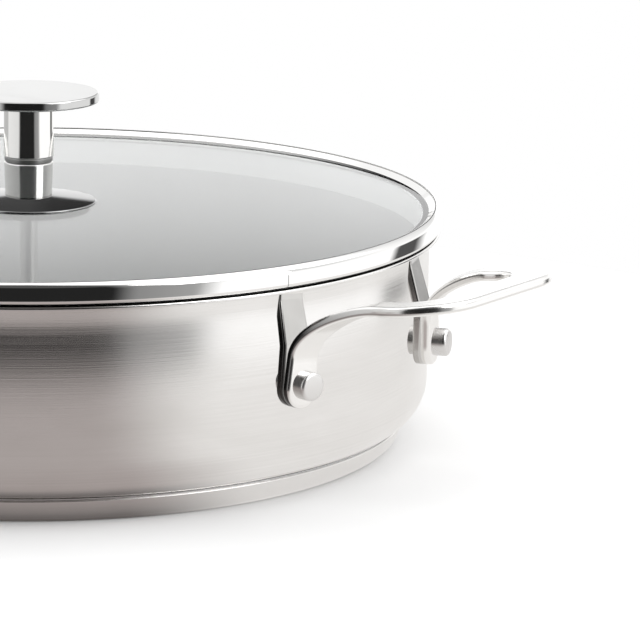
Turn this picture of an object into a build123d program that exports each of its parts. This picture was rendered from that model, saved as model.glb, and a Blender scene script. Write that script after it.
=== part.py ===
from build123d import *
import os
from math import asin, atan2, cos, degrees, radians, sin, tan

os.makedirs("parts", exist_ok=True)

# Lidded saute pan: a drawn steel pan on a capsule base, two riveted loop handles on brackets,
# and a flat glass lid in a rolled steel rim with a screwed knob.
# Millimetres, +Z up, origin on the table at the centre of the base, handles along X.

overrun = 4.0
half_turn = 180
quarter_turn = 90

# Pan body
wall_radius = 137.7
wall = 1.2
body_floor_height = 6.6
corner_radius = 15.0
lip_overhang = 3.3
lip_height = 73.6
lip_flare = 1.2

# Capsule base: an aluminium disc closed by a steel cap that leans out to the seam
cap_wall = 0.8
cap_foot_inset = 13.0
cap_chamfer_width = 3.0
cap_chamfer_height = 1.6
seam_angle = 31.0

# Lid: a glass plate held by a rolled rim
glass_thickness = 4.0
glass_seat_height = 2.0
glass_clearance = 0.2
glass_hole_clearance = 1.0
rim_overhang = 1.0
rim_gap = 0.7
rim_seat_inset = 1.2
rim_height = 7.1
rim_shoulder_radius = 1.6
rim_crest_width = 2.6
rim_slope_height = 1.6
rim_width = 4.7
rim_fold_width = 3.4
skirt_depth = 8.0
skirt_wall = 0.8
skirt_clearance = 0.8
rim_joint_width = 0.5
rim_joint_depth = 0.5
rim_joint_angle = -17.0

# Knob: flange, two stems with a ring between them, and a disc on top, drawn down by one screw
washer_radius = 21.0
washer_thickness = 0.6
flange_radius = 23.1
flange_edge = 0.8
flange_rise = 2.3
stem_radius = 8.45
stem_foot_radius = 8.0
lower_stem_length = 11.8
ring_thickness = 2.3
ring_groove = 0.4
ring_groove_depth = 0.6
upper_stem_length = 18.9
knob_radius = 24.1
knob_thickness = 3.1
knob_chamfer = 0.45
spigot_radius = 4.0
spigot_length = 1.6
fit_clearance = 0.05
screw_radius = 3.0
screw_grip = 10.0
screw_head_radius = 5.5
screw_head_height = 2.6
screw_socket_radius = 2.0
screw_socket_depth = 1.4
seal_radius = 9.0
seal_thickness = 1.0
plate_washer_radius = 8.0
plate_washer_thickness = 1.0

# Legs of the handles, their brackets and their rivets
leg_angle = 15.86
leg_splay = 5.0
leg_width = 12.8
leg_top_width = 11.6
leg_end_drop = 8.0
leg_straight = 8.4
strap_thickness = 3.3
rivet_drop = 30.8
spacer_thickness = 2.0
spacer_radius = 4.9
bracket_thickness = 2.8
bracket_top_width = 9.6
bracket_top_shift = 2.0
bracket_top_gap = 1.5
bracket_weld_length = 1.5
bracket_lean_length = 14.5
bracket_bend_radius = 5.0
bracket_feather = 0.9
rivet_radius = 2.5
rivet_clearance = 0.1
rivet_head_radius = 4.7
rivet_head_height = 5.0
rivet_head_chamfer = 0.9
rivet_inner_height = 1.3
rivet_inner_chamfer = 0.9

# Bend of each arm and its loop, which lies on its own gently rising plane
bend_reach = 19.2
bend_rise = 20.4
arm_draw_in = 4.0
loop_rise_angle = 6.45
loop_heading = -8.0
loop_arm_width = 11.6
loop_reach = 28.35
loop_widening = 6.2
loop_corner_radius = 20.8
loop_end_width = 13.5
loop_hole_corner_radius = 10.0
bend_up_pull = 10.5
bend_out_pull = 7.0
bend_sections = 6

# Heights and radii that follow from the sizes above
wall_inner_radius = wall_radius - wall
lip_radius = wall_radius + lip_overhang
lip_underside = lip_height - wall
rim_radius = lip_radius + rim_overhang
rivet_height = lip_height - rivet_drop
cap_foot_radius = wall_radius - cap_foot_inset
corner_centre = Vector(wall_radius - corner_radius, body_floor_height + corner_radius)
glass_underside = lip_height + glass_seat_height
glass_top = glass_underside + glass_thickness
rim_fold_radius = rim_radius - rim_fold_width
screw_hole_radius = screw_radius + fit_clearance
glass_hole_radius = screw_radius + glass_hole_clearance
flange_bottom = glass_top + washer_thickness
flange_top = flange_bottom + flange_rise
ring_bottom = flange_top + lower_stem_length
ring_top = ring_bottom + ring_thickness
knob_bottom = ring_top + upper_stem_length
seal_bottom = glass_underside - seal_thickness
plate_washer_bottom = seal_bottom - plate_washer_thickness
bracket_inner_radius = wall_radius + spacer_thickness
strap_inner_radius = bracket_inner_radius + bracket_thickness
strap_outer_radius = strap_inner_radius + strap_thickness
rivet_hole_radius = rivet_radius + rivet_clearance

# Directions of the leg on the +X, +Y side: outward, across, and up along the splayed leg
leg_out = Vector(cos(radians(leg_angle)), sin(radians(leg_angle)), 0)
leg_level = Vector(-sin(radians(leg_angle)), cos(radians(leg_angle)), 0)
up = Vector(0, 0, 1)
leg_across = leg_level * cos(radians(leg_splay)) + up * sin(radians(leg_splay))
leg_up = up * cos(radians(leg_splay)) - leg_level * sin(radians(leg_splay))
rivet_axis = Axis(Vector(0, 0, rivet_height), leg_out)
leg_side_plane = Plane(origin=(0, 0, 0), x_dir=leg_out, z_dir=-leg_level)
rivet_side_plane = Plane(origin=(0, 0, rivet_height), x_dir=leg_out, z_dir=-leg_level)


def leg_plane(radius):
    """Plane that faces outward at the rivet, at this distance from the pan's axis."""
    return Plane(origin=leg_out * radius + up * rivet_height, x_dir=leg_across, z_dir=leg_out)


def leg_outline(top, top_width, top_shift):
    """A leg's front outline: straight tapering sides on a round end, the rivet at zero."""
    end_centre = leg_width / 2 - leg_end_drop
    with BuildSketch() as outline:
        with BuildLine():
            right = Line((leg_width / 2, end_centre), (top_shift + top_width / 2, top))
            left = Line((top_shift - top_width / 2, top), (-leg_width / 2, end_centre))
            Line(right @ 1, left @ 0)
            ThreePointArc(left @ 1, (0, -leg_end_drop), right @ 0)
        make_face()
    return outline.sketch


def write_part(part, label):
    """Names a finished piece and writes it to its own file."""
    part.label = label
    export_step(part, f"parts/{label}.step")


# Pan body: one even wall across the floor, round the corner, up the side and out over the lip
with BuildPart() as pan_body:
    with BuildSketch(Plane.XZ):
        with BuildLine():
            floor_run = Line((0, body_floor_height), (wall_radius - corner_radius, body_floor_height))
            corner_run = JernArc(floor_run @ 1, (1, 0), corner_radius, quarter_turn)
            Polyline(
                corner_run @ 1,
                (wall_radius, lip_underside - lip_flare),
                (wall_radius + lip_flare, lip_underside),
                (lip_radius, lip_underside),
            )
            offset(amount=wall, kind=Kind.INTERSECTION, side=Side.LEFT)
        make_face()
    revolve(axis=Axis.Z)
    for turn in (leg_angle, -leg_angle, half_turn - leg_angle, half_turn + leg_angle):
        hole_direction = Vector(cos(radians(turn)), sin(radians(turn)), 0)
        with BuildSketch(Plane(origin=up * rivet_height, z_dir=hole_direction)):
            Circle(rivet_hole_radius)
        extrude(amount=wall_radius + overrun, mode=Mode.SUBTRACT)
write_part(pan_body.part, "pan_body")

# Capsule base: the cap's side leans out from the foot to the seam on the pan's corner
seam_point = corner_centre + Vector(0, -corner_radius).rotate(Axis.Z, seam_angle)
core_angle = seam_angle - degrees(cap_wall / corner_radius)
core_point = corner_centre + Vector(0, -corner_radius).rotate(Axis.Z, core_angle)
cap_shoulder = Vector(cap_foot_radius + cap_chamfer_width, cap_chamfer_height)
core_foot_radius = cap_foot_radius - cap_wall * tan(atan2(cap_chamfer_height, cap_chamfer_width) / 2)
core_shoulder = cap_shoulder + Vector(-cap_wall, cap_wall) * sin(radians(half_turn / 4))

with BuildPart() as base_cap:
    with BuildSketch(Plane.XZ):
        with BuildLine():
            cap_outside = Polyline((0, 0), (cap_foot_radius, 0), cap_shoulder, seam_point)
            CenterArc(corner_centre, corner_radius, core_angle - quarter_turn, seam_angle - core_angle)
            cap_inside = Polyline((0, cap_wall), (core_foot_radius, cap_wall), core_shoulder, core_point)
            Line(cap_outside @ 0, cap_inside @ 0)
        make_face()
    revolve(axis=Axis.Z)
write_part(base_cap.part, "base_cap")

with BuildPart() as base_core:
    with BuildSketch(Plane.XZ):
        with BuildLine():
            core_outside = Polyline((0, cap_wall), (core_foot_radius, cap_wall), core_shoulder, core_point)
            core_arc = CenterArc(corner_centre, corner_radius, -quarter_turn, core_angle)
            core_top = Line(core_arc @ 0, (0, body_floor_height))
            Line(core_top @ 1, core_outside @ 0)
        make_face()
    revolve(axis=Axis.Z)
write_part(base_core.part, "base_core")

# Lid rim: a flat seat on the lip, a skirt inside the pan, and a rounded fold over the glass
skirt_outer = wall_inner_radius - skirt_clearance
skirt_inner = skirt_outer - skirt_wall
skirt_bottom = lip_height - skirt_depth
seat_outer = lip_radius - rim_seat_inset
rim_underside = lip_height + rim_gap
rim_crest = rim_underside + rim_height
rim_inner_radius = rim_radius - rim_width
crest_inner_radius = rim_radius - rim_shoulder_radius - rim_crest_width

with BuildPart() as lid_rim:
    with BuildSketch(Plane.XZ):
        with BuildLine():
            Polyline(
                (rim_inner_radius, glass_top),
                (rim_fold_radius, glass_top),
                (rim_fold_radius, glass_underside),
                (skirt_inner, glass_underside),
                (skirt_inner, skirt_bottom),
                (skirt_outer, skirt_bottom),
                (skirt_outer, lip_height),
                (seat_outer, lip_height),
                (seat_outer, rim_underside),
                (rim_radius, rim_underside),
                (rim_radius, rim_crest),
                (crest_inner_radius, rim_crest),
                (rim_inner_radius, rim_crest - rim_slope_height),
                close=True,
            )
        make_face()
        fillet(vertices().sort_by_distance((rim_radius, rim_crest))[0], rim_shoulder_radius)
    revolve(axis=Axis.Z)
    # the butt joint of the rolled strip shows as a fine upright groove
    joint_plane = Plane(
        origin=(0, 0, rim_underside),
        x_dir=(cos(radians(rim_joint_angle)), sin(radians(rim_joint_angle)), 0),
        z_dir=(0, 0, 1),
    )
    with BuildSketch(joint_plane):
        with Locations((rim_radius, 0)):
            Rectangle(2 * rim_joint_depth, rim_joint_width)
    extrude(amount=rim_height, mode=Mode.SUBTRACT)
write_part(lid_rim.part, "lid_rim")

with BuildPart() as lid_glass:
    with BuildSketch(Plane.XY.offset(glass_underside)):
        Circle(rim_fold_radius - glass_clearance)
        Circle(glass_hole_radius, mode=Mode.SUBTRACT)
    extrude(amount=glass_thickness)
write_part(lid_glass.part, "lid_glass")

# Washers between the glass and the metal, above and below
with BuildPart() as knob_washer:
    with BuildSketch(Plane.XY.offset(glass_top)):
        Circle(washer_radius)
        Circle(glass_hole_radius, mode=Mode.SUBTRACT)
    extrude(amount=washer_thickness)
write_part(knob_washer.part, "knob_washer")

with BuildPart() as screw_seal:
    with BuildSketch(Plane.XY.offset(seal_bottom)):
        Circle(seal_radius)
        Circle(screw_hole_radius, mode=Mode.SUBTRACT)
    extrude(amount=seal_thickness)
write_part(screw_seal.part, "screw_seal")

with BuildPart() as screw_washer:
    with BuildSketch(Plane.XY.offset(plate_washer_bottom)):
        Circle(plate_washer_radius)
        Circle(screw_hole_radius, mode=Mode.SUBTRACT)
    extrude(amount=plate_washer_thickness)
write_part(screw_washer.part, "screw_washer")

# Knob flange: a thin edge and a shallow cone up to the stem's foot
with BuildPart() as knob_flange:
    with BuildSketch(Plane.XZ):
        with BuildLine():
            Polyline(
                (screw_hole_radius, flange_bottom),
                (flange_radius, flange_bottom),
                (flange_radius, flange_bottom + flange_edge),
                (stem_foot_radius, flange_top),
                (screw_hole_radius, flange_top),
                close=True,
            )
        make_face()
    revolve(axis=Axis.Z)
write_part(knob_flange.part, "knob_flange")

with BuildPart() as knob_lower_stem:
    with BuildSketch(Plane.XZ):
        with BuildLine():
            Polyline(
                (screw_hole_radius, flange_top),
                (stem_foot_radius, flange_top),
                (stem_radius, ring_bottom),
                (screw_hole_radius, ring_bottom),
                close=True,
            )
        make_face()
    revolve(axis=Axis.Z)
write_part(knob_lower_stem.part, "knob_lower_stem")

# Ring between the stems, set off by a fine groove on each side
groove_radius = stem_radius - ring_groove_depth
with BuildPart() as knob_ring:
    with BuildSketch(Plane.XZ):
        with BuildLine():
            Polyline(
                (screw_hole_radius, ring_bottom),
                (groove_radius, ring_bottom),
                (groove_radius, ring_bottom + ring_groove),
                (stem_radius, ring_bottom + ring_groove),
                (stem_radius, ring_top - ring_groove),
                (groove_radius, ring_top - ring_groove),
                (groove_radius, ring_top),
                (screw_hole_radius, ring_top),
                close=True,
            )
        make_face()
    revolve(axis=Axis.Z)
write_part(knob_ring.part, "knob_ring")

# Upper stem: a blind bore for the screw below and a spigot for the disc above
with BuildPart() as knob_upper_stem:
    with BuildSketch(Plane.XY.offset(ring_top)):
        Circle(stem_radius)
    extrude(amount=upper_stem_length)
    with BuildSketch(Plane.XY.offset(knob_bottom)):
        Circle(spigot_radius)
    extrude(amount=spigot_length)
    with BuildSketch(Plane.XY.offset(ring_top)):
        Circle(screw_hole_radius)
    extrude(amount=screw_grip + fit_clearance, mode=Mode.SUBTRACT)
write_part(knob_upper_stem.part, "knob_upper_stem")

with BuildPart() as knob_disc:
    with BuildSketch(Plane.XY.offset(knob_bottom)):
        Circle(knob_radius)
    extrude(amount=knob_thickness)
    chamfer(knob_disc.edges().group_by(Axis.Z)[-1], knob_chamfer)
    chamfer(knob_disc.edges().group_by(Axis.Z)[0], knob_chamfer)
    with BuildSketch(Plane.XY.offset(knob_bottom)):
        Circle(spigot_radius + fit_clearance)
    extrude(amount=spigot_length + fit_clearance, mode=Mode.SUBTRACT)
write_part(knob_disc.part, "knob_disc")

# Screw from below the glass up into the upper stem, with a hex socket in its head
with BuildPart() as knob_screw:
    with BuildSketch(Plane.XY.offset(plate_washer_bottom - screw_head_height)):
        Circle(screw_head_radius)
    extrude(amount=screw_head_height)
    with BuildSketch(Plane.XY.offset(plate_washer_bottom)):
        Circle(screw_radius)
    extrude(amount=ring_top + screw_grip - plate_washer_bottom)
    with BuildSketch(Plane.XY.offset(plate_washer_bottom - screw_head_height)):
        RegularPolygon(screw_socket_radius, 6)
    extrude(amount=screw_socket_depth, mode=Mode.SUBTRACT)
write_part(knob_screw.part, "knob_screw")

# Bracket: a bent strip, ground thin where it is welded under the lip, that stands off the wall
# behind the rivet; its top stands straighter over the rivet than the splayed leg
bracket_top = lip_underside - bracket_top_gap
weld_end = bracket_top - bracket_weld_length
lean_end = weld_end - bracket_lean_length
bracket_foot = rivet_height - leg_end_drop - overrun
weld_radius = wall_radius + bracket_feather - bracket_thickness

with BuildPart() as bracket:
    with BuildSketch(leg_side_plane):
        with BuildLine():
            inner_bend = FilletPolyline(
                (weld_radius, bracket_top),
                (weld_radius, weld_end),
                (bracket_inner_radius, lean_end),
                (bracket_inner_radius, bracket_foot),
                radius=bracket_bend_radius,
            )
            outer_bend = FilletPolyline(
                (weld_radius + bracket_thickness, bracket_top),
                (weld_radius + bracket_thickness, weld_end),
                (strap_inner_radius, lean_end),
                (strap_inner_radius, bracket_foot),
                radius=bracket_bend_radius,
            )
            Line(inner_bend @ 0, outer_bend @ 0)
            Line(inner_bend @ 1, outer_bend @ 1)
        make_face()
    extrude(amount=leg_width, both=True)
    with BuildSketch(leg_plane(bracket_inner_radius)):
        add(leg_outline(lip_height - rivet_height, bracket_top_width, bracket_top_shift))
    extrude(amount=bracket_inner_radius / 2, both=True, mode=Mode.INTERSECT)
    with BuildSketch(Plane.XY):
        Circle(wall_radius)
    extrude(amount=lip_height, mode=Mode.SUBTRACT)
    with BuildSketch(leg_plane(bracket_inner_radius)):
        Circle(rivet_hole_radius)
    extrude(amount=bracket_thickness + overrun, both=True, mode=Mode.SUBTRACT)

# Spacer: a round disc between the wall and the bracket, hollowed to the wall's curve
with BuildPart() as spacer:
    with BuildSketch(leg_plane(bracket_inner_radius)):
        Circle(spacer_radius)
        Circle(rivet_hole_radius, mode=Mode.SUBTRACT)
    extrude(amount=-(spacer_thickness + overrun))
    with BuildSketch(Plane.XY):
        Circle(wall_radius)
    extrude(amount=lip_height, mode=Mode.SUBTRACT)

# Rivet: a flat raised head outside, a shank through the stack, a low head inside the pan
inner_head_seat = wall_inner_radius * cos(asin(rivet_head_radius / wall_inner_radius))
inner_head_face = inner_head_seat - rivet_inner_height
rivet_face = strap_outer_radius + rivet_head_height

with BuildPart() as rivet:
    with BuildSketch(rivet_side_plane):
        with BuildLine():
            Polyline(
                (inner_head_face, 0),
                (rivet_face, 0),
                (rivet_face, rivet_head_radius - rivet_head_chamfer),
                (rivet_face - rivet_head_chamfer, rivet_head_radius),
                (strap_outer_radius, rivet_head_radius),
                (strap_outer_radius, rivet_radius),
                (inner_head_seat, rivet_radius),
                (inner_head_seat, rivet_head_radius),
                (inner_head_face, rivet_head_radius - rivet_inner_chamfer),
                close=True,
            )
        make_face()
    revolve(axis=rivet_axis)

# Handle: built as one half with its leg, bend and half loop, then mirrored
strap_middle_radius = strap_inner_radius + strap_thickness / 2
bend_foot = leg_out * strap_middle_radius + up * rivet_height + leg_up * leg_straight
loop_start_spread = bend_foot.Y - arm_draw_in
loop_half_width = loop_start_spread + loop_widening
loop_plane = Plane(
    origin=(strap_outer_radius + bend_reach, 0, rivet_height + leg_straight + bend_rise),
    x_dir=(cos(radians(loop_rise_angle)), 0, sin(radians(loop_rise_angle))),
    z_dir=(-sin(radians(loop_rise_angle)), 0, cos(radians(loop_rise_angle))),
)
arm_heading = Vector(cos(radians(loop_heading)), sin(radians(loop_heading)))
arm_across = Vector(-sin(radians(loop_heading)), cos(radians(loop_heading)))
arm_centre = Vector(0, loop_start_spread)
hole_half_width = loop_half_width - loop_arm_width
hole_reach = loop_reach - loop_end_width

# The bend's middle line rises out of the leg and turns into the loop's plane
bend_end = loop_plane.from_local_coords(arm_centre) - loop_plane.z_dir * (strap_thickness / 2)
bend_heading = loop_plane.from_local_coords(arm_heading) - loop_plane.origin
bend_across = loop_plane.from_local_coords(arm_across) - loop_plane.origin
bend_line = Bezier(
    bend_foot,
    bend_foot + leg_up * bend_up_pull,
    bend_end - bend_heading * bend_out_pull,
    bend_end,
)


def bend_plane(share):
    """Plane square to the bend's middle line, turning ever faster from the leg to the loop's arm."""
    along = bend_line % share
    turned_share = share ** 2
    across = leg_across * (1 - turned_share) + bend_across * turned_share
    level = across - along * across.dot(along)
    return Plane(origin=bend_line @ share, x_dir=level, z_dir=along)


with BuildPart() as handle_right:
    with BuildSketch(leg_plane(strap_inner_radius)):
        add(leg_outline(leg_straight, leg_top_width, 0))
    extrude(amount=strap_thickness)
    for step in range(bend_sections + 1):
        share = step / bend_sections
        section_width = leg_top_width * (1 - share) + loop_arm_width * share
        with BuildSketch(bend_plane(share)):
            Rectangle(section_width, strap_thickness)
    loft()
    with BuildSketch(loop_plane):
        with BuildLine():
            outer_start = arm_centre + arm_across * (loop_arm_width / 2)
            inner_start = arm_centre - arm_across * (loop_arm_width / 2)
            outer_side = Spline(
                outer_start,
                (loop_reach - loop_corner_radius, loop_half_width),
                tangents=[arm_heading, (1, 0)],
            )
            outer_corner = JernArc(outer_side @ 1, (1, 0), loop_corner_radius, -quarter_turn)
            loop_end = Line(outer_corner @ 1, (loop_reach, 0))
            loop_middle = Line(loop_end @ 1, (hole_reach, 0))
            hole_end = Line(loop_middle @ 1, (hole_reach, hole_half_width - loop_hole_corner_radius))
            hole_corner = JernArc(hole_end @ 1, (0, 1), loop_hole_corner_radius, quarter_turn)
            Spline(
                hole_corner @ 1,
                inner_start,
                tangents=[(-1, 0), -arm_heading],
            )
            Line(inner_start, outer_start)
        make_face()
    extrude(amount=-strap_thickness)
    with BuildSketch(leg_plane(strap_inner_radius)):
        Circle(rivet_hole_radius)
    extrude(amount=strap_thickness + overrun, both=True, mode=Mode.SUBTRACT)
    mirror(about=Plane.XZ)
write_part(handle_right.part, "handle_right")

with BuildPart() as handle_left:
    add(handle_right.part, rotation=(0, 0, half_turn))
write_part(handle_left.part, "handle_left")

# The leg's own pieces stand at all four legs: mirrored for the front, turned for the left
leg_pieces = {"bracket": bracket.part, "spacer": spacer.part, "rivet": rivet.part}
for piece_name, rear_piece in leg_pieces.items():
    front_piece = rear_piece.mirror(Plane.XZ)
    corners = {
        "right_rear": (rear_piece, 0),
        "right_front": (front_piece, 0),
        "left_front": (rear_piece, half_turn),
        "left_rear": (front_piece, half_turn),
    }
    for corner_name, (corner_piece, turn) in corners.items():
        with BuildPart() as placed:
            add(corner_piece, rotation=(0, 0, turn))
        write_part(placed.part, f"{piece_name}_{corner_name}")
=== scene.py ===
"""Saute pan with a glass lid, dressed and lit as in a white studio."""

import math

import bpy
import numpy as np
from mathutils import Matrix, Vector


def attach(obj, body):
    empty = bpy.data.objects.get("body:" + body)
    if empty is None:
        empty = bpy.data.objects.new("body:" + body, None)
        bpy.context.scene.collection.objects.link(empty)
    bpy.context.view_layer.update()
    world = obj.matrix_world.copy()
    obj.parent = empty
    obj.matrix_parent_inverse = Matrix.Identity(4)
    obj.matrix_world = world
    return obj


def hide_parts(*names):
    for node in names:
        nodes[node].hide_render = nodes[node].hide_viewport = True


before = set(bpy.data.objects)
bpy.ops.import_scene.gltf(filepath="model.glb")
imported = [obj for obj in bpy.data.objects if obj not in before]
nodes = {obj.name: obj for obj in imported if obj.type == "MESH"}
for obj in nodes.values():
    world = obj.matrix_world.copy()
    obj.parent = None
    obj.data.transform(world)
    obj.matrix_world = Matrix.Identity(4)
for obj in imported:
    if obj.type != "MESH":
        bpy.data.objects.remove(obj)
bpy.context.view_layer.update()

# Sizes below are in millimetres, as on the drawing, and become metres in the mesh
millimetre = 0.001
steps_per_turn = 480
steps_per_small_turn = 128
crease = math.radians(28)

# Camera: it stands to the right front of the pan and looks a little down, past the lid's middle
camera_turn = math.radians(36.8)
camera_distance = 1.60103
camera_height = 0.38993
camera_yaw = math.radians(3.60)
camera_pitch = math.radians(12.35)
camera_roll = math.radians(0.79)
sensor_width = 36.0
focal_pixels = 4741.4
image_pixels = 640
camera_clip_end = 40

# Studio: how bright the room is at each bearing from the camera's side, in degrees to its right:
# below the table's level, low down, further up and overhead. Then the heights in degrees between
# which one gives way to the next
floor_screens = [
    (-180, 1.00), (-168, 0.62), (-114, 0.60), (-106, 1.00), (-48, 0.90), (-39, 0.02), (23, 0.02),
    (29, 0.30), (46, 0.42), (54, 1.30), (118, 1.30), (122, 0.10), (134, 0.10), (142, 1.20),
    (180, 1.00),
]
low_screens = [
    (-180, 1.28), (-114, 1.00), (-106, 1.00), (-48, 0.90), (-39, 0.02), (23, 0.02), (29, 0.30),
    (46, 0.42), (54, 1.20), (118, 1.20), (142, 1.20), (175, 1.52), (176.5, 1.32), (178, 1.22),
    (179.2, 1.28), (180, 1.28),
]
high_screens = [
    (-180, 0.12), (-174, 0.12), (-166, 1.10), (-140, 1.15), (-48, 0.80), (-39, 0.02), (23, 0.02),
    (29, 0.30), (46, 0.42), (62, 0.85), (90, 0.85), (118, 1.20), (150, 1.00), (170, 0.80),
    (174.5, 0.05), (178.5, 0.07), (180, 0.12),
]
roof_screens = [
    (-180, 1.60), (-75, 1.60), (-45, 0.10), (28, 0.10), (48, 1.60), (180, 1.60),
]
floor_screens_top = (-2.0, 1.0)
low_screens_top = (10.2, 13.6)
high_screens_top = (34.0, 46.0)

# Table: its own shade, and the painted reflection it glows with only in the steel's gloss: dull
# in front, with a painted shadow darkest by the pan's foot, and pale to the sides
table_radius = 0.358
table_white = (0.77, 0.77, 0.77, 1)
table_dull = (0.32, 0.275, 0.263, 1)
table_foot_painted_shadow = (0.13, 0.115, 0.11, 1)
table_foot_reach = (0.127, 0.137)
table_pale = (0.80, 0.785, 0.77, 1)
table_dull_share = 0.15
table_roughness = 0.9
black = (0, 0, 0, 1)
white = (1, 1, 1, 1)
table_turn = math.radians(-9.0)
table_dull_angles = (math.radians(22.0), math.radians(48.0))

# Pan
wall_radius = 137.7
wall = 1.2
body_floor = 6.6
corner_radius = 15.0
lip_radius = 141.0
lip_height = 73.6
lip_mouth = 2.4
flare_start = 59.0
flare = 0.42
lip_edge = 0.5
cap_wall = 0.8
seam_height = 8.74
seam_radius = 130.43
cap_foot_radius = 124.7
cap_shoulder = (127.7, 1.6)
cap_foot_round = 1.5
cap_shoulder_round = 4.0
seam_round = 0.35

# Lid
glass_underside = 75.6
glass_top = 79.6
rim_radius = 142.0
rim_underside = 74.3
rim_crest = 81.4
rim_inner_radius = 137.3
rim_fold_radius = 138.6
rim_crest_inner = 139.7
rim_middle = 77.2
rim_barrel = 0.5
seam_angle = math.radians(-17.3)
seam_width = 0.30
seam_top = 78.6
skirt_outer = 135.7
skirt_inner = 134.9
skirt_bottom = 65.6
seat_outer = 138.4
skirt_round = 0.3
bead_round = 1.1
bead_outer_round = 2.1
fold_round = 0.4

# Knob
flange_bottom = 80.2
flange_top = 82.5
flange_radius = 23.1
flange_edge = 0.8
stem_foot_radius = 8.0
stem_radius = 8.45
ring_bottom = 94.3
ring_top = 96.6
ring_groove = 0.4
ring_radius = 8.25
ring_groove_depth = 0.6
stem_waist = 107.6
stem_flare = 0.3
knob_bottom = 115.5
knob_top = 118.6
knob_radius = 24.1
flange_underside_round = 0.2
flange_edge_round = 0.35
stem_end_round = 0.2
ring_round = 0.25
disc_underside_round = 0.5
disc_top_round = 0.6

# Legs, brackets and rivets
leg_angle = math.radians(15.86)
leg_splay = math.radians(5.0)
leg_width = 12.8
leg_top_width = 11.6
leg_end_drop = 8.0
leg_straight = 8.4
rivet_height = 42.8
strap_inner_radius = 142.5
strap_thickness = 3.3
strap_edge_radius = 1.25
tip_stations = 4
tip_first_share = 0.15
tip_first_angle = 0.12
leg_front_share = 0.25
arm_ease_share = 1 / 3
bracket_thickness = 2.8
bracket_inner_radius = 139.7
bracket_edge_radius = 0.7
bracket_top_width = 9.6
bracket_top_shift = 2.0
bracket_top = 70.9
bracket_bend_radius = 5.0
weld_radius = 135.8
weld_end = 69.4
lean_end = 54.9
rivet_head_radius = 4.7
rivet_head_height = 5.0
rivet_head_round = 1.1
rivet_crown = 0.25
rivet_shank_radius = 2.5
rivet_inner_height = 1.3
rivet_inner_round = 0.9
rivet_seat_round = 0.15

# Finishes: shades of the steel, and the lowest and highest roughness of each gloss
pan_wall_dark = (0.75, 0.74, 0.725, 1)
pan_wall_light = (0.83, 0.82, 0.81, 1)
# darker colour inside the pan: a painted shade in its hollow
pan_inside_painted_shade = (0.54, 0.54, 0.54, 1)
pan_gloss = (0.14, 0.20)
pan_inside_rougher = 0.25
pan_spread = 0.45
handle_gloss = (0.13, 0.21)
# near black painted shade on the outer side faces of legs and brackets, fading out between two
# heights in millimetres
painted_shade_side = (0.78, 0.86)
painted_shade_top = (60.0, 74.0)
side_painted_shade = (0.07, 0.068, 0.066, 1)
rim_dark = (0.80, 0.795, 0.785, 1)
rim_light = (0.85, 0.845, 0.835, 1)
rim_gloss = (0.03, 0.08)
# black painted shadow in a band round the gap between the rim and the pan's lip
crack_half_width = 0.37
crack_painted_shadow = (0.012, 0.012, 0.012, 1)
seam_shade = (0.05, 0.05, 0.05, 1)
seam_strength = 0.8
seam_depth = 8.0
# lighter colour on the skirt inside the pan: painted light
skirt_painted_light = (0.95, 0.95, 0.94, 1)
skirt_roughness = 0.7
glass_ior = 1.5

# Bends and loops
loop_start = (165.0, 71.6)
loop_rise = math.radians(6.45)
loop_heading = math.radians(-8.0)
loop_start_spread = 34.7
loop_half_width = 40.9
loop_arm_width = 11.6
loop_reach = 28.35
loop_corner_radius = 20.8
loop_end_width = 13.5
hole_corner_radius = 10.0
bend_up_pull = 10.5
bend_out_pull = 7.0


def place_camera():
    """Sets up the camera from its stand point and its yaw, pitch and roll."""
    cos_yaw, sin_yaw = math.cos(camera_yaw), math.sin(camera_yaw)
    cos_pitch, sin_pitch = math.cos(camera_pitch), math.sin(camera_pitch)
    forward = Vector((sin_yaw * cos_pitch, cos_yaw * cos_pitch, -sin_pitch))
    level = Vector((cos_yaw, -sin_yaw, 0))
    upright = level.cross(forward)
    cos_roll, sin_roll = math.cos(camera_roll), math.sin(camera_roll)
    right = cos_roll * level + sin_roll * upright
    top = -sin_roll * level + cos_roll * upright
    axes = Matrix((right, top, -forward)).transposed().to_4x4()
    turn = Matrix.Rotation(camera_turn, 4, "Z")
    data = bpy.data.cameras.new("photo_camera")
    data.sensor_width = sensor_width
    data.lens = focal_pixels / image_pixels * sensor_width
    data.clip_end = camera_clip_end
    camera = bpy.data.objects.new("photo_camera", data)
    camera.matrix_world = turn @ Matrix.Translation((0, -camera_distance, camera_height)) @ axes
    bpy.context.scene.collection.objects.link(camera)
    bpy.context.scene.camera = camera


# Shapes

def rounded_path(corners, radii, steps=6, hold_share=0.25):
    """A path through the corners with an arc at each inner one. Each arc has its centre on the
    corner's bisector, one radius from both runs, and a holding point just before and after it
    keeps the flat runs flat in the shading."""
    corners = np.asarray(corners, float)
    points = [corners[0]]
    for before, corner, after, radius in zip(corners[:-2], corners[1:-1], corners[2:], radii):
        if radius <= 0:
            points.append(corner)
            continue
        back, ahead = before - corner, after - corner
        back, ahead = back / np.linalg.norm(back), ahead / np.linalg.norm(ahead)
        half = 0.5 * math.acos(np.clip(back @ ahead, -1, 1))
        reach = radius / math.tan(half)
        bisector = (back + ahead) / np.linalg.norm(back + ahead)
        centre = corner + bisector * radius / math.sin(half)
        start, end = corner + back * reach, corner + ahead * reach
        a0 = math.atan2(*(start - centre)[::-1])
        a1 = math.atan2(*(end - centre)[::-1])
        sweep = (a1 - a0 + math.pi) % (2 * math.pi) - math.pi
        angles = a0 + sweep * np.linspace(0, 1, steps + 1)
        arc = centre + radius * np.stack([np.cos(angles), np.sin(angles)], axis=1)
        hold = hold_share * radius
        points += [start + back * hold, *arc, end + ahead * hold]
    points.append(corners[-1])
    return np.array(points)


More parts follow.
